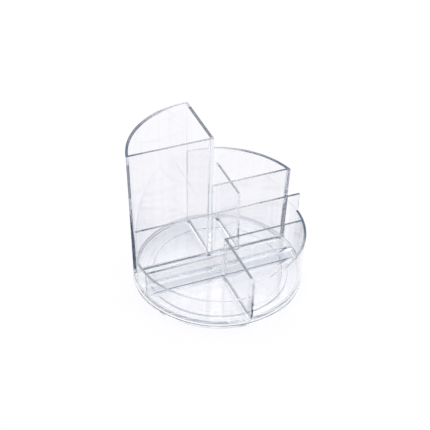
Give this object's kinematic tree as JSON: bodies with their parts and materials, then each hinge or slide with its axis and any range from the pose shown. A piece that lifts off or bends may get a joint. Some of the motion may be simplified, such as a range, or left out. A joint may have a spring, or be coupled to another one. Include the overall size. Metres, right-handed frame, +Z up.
{
  "type": "pencil holder",
  "caption": "Round clear plastic desk organiser with stepped bays for pencils, letters and clips, whose tray turns on a flat round base.",
  "frame": {"origin": "middle of the base's underside, on the tray's turning axis, at table level", "axes": "+Z up along the turning axis; +X along the flat cross walls, to the right of someone facing the low front bays; +Y towards the tall back bays"},
  "size_m": [0.1364, 0.1376, 0.1159],
  "materials": {
    "clear_tray": "crystal clear moulded plastic, polished on both sides",
    "clear_base": "crystal clear moulded plastic, polished on both sides"
  },
  "bodies": {
    "base": {"turntable_base": "clear_base"},
    "tray": {"tray_floor": "clear_tray", "tall_bay_rim": "clear_tray", "tall_bay_front": "clear_tray", "tall_bay_side": "clear_tray", "middle_bay_rim": "clear_tray", "middle_bay_front": "clear_tray", "middle_bay_divider": "clear_tray", "letter_wall": "clear_tray", "front_stepped_wall": "clear_tray", "front_bay_divider": "clear_tray", "right_bay_rim": "clear_tray", "left_bay_rim": "clear_tray"}
  },
  "joints": [
    {"name": "tray_turn", "type": "hinge", "parent": "base", "child": "tray", "pos_m": [0, 0, 0.003], "axis": [0, 0, 1], "continuous": true}
  ]
}
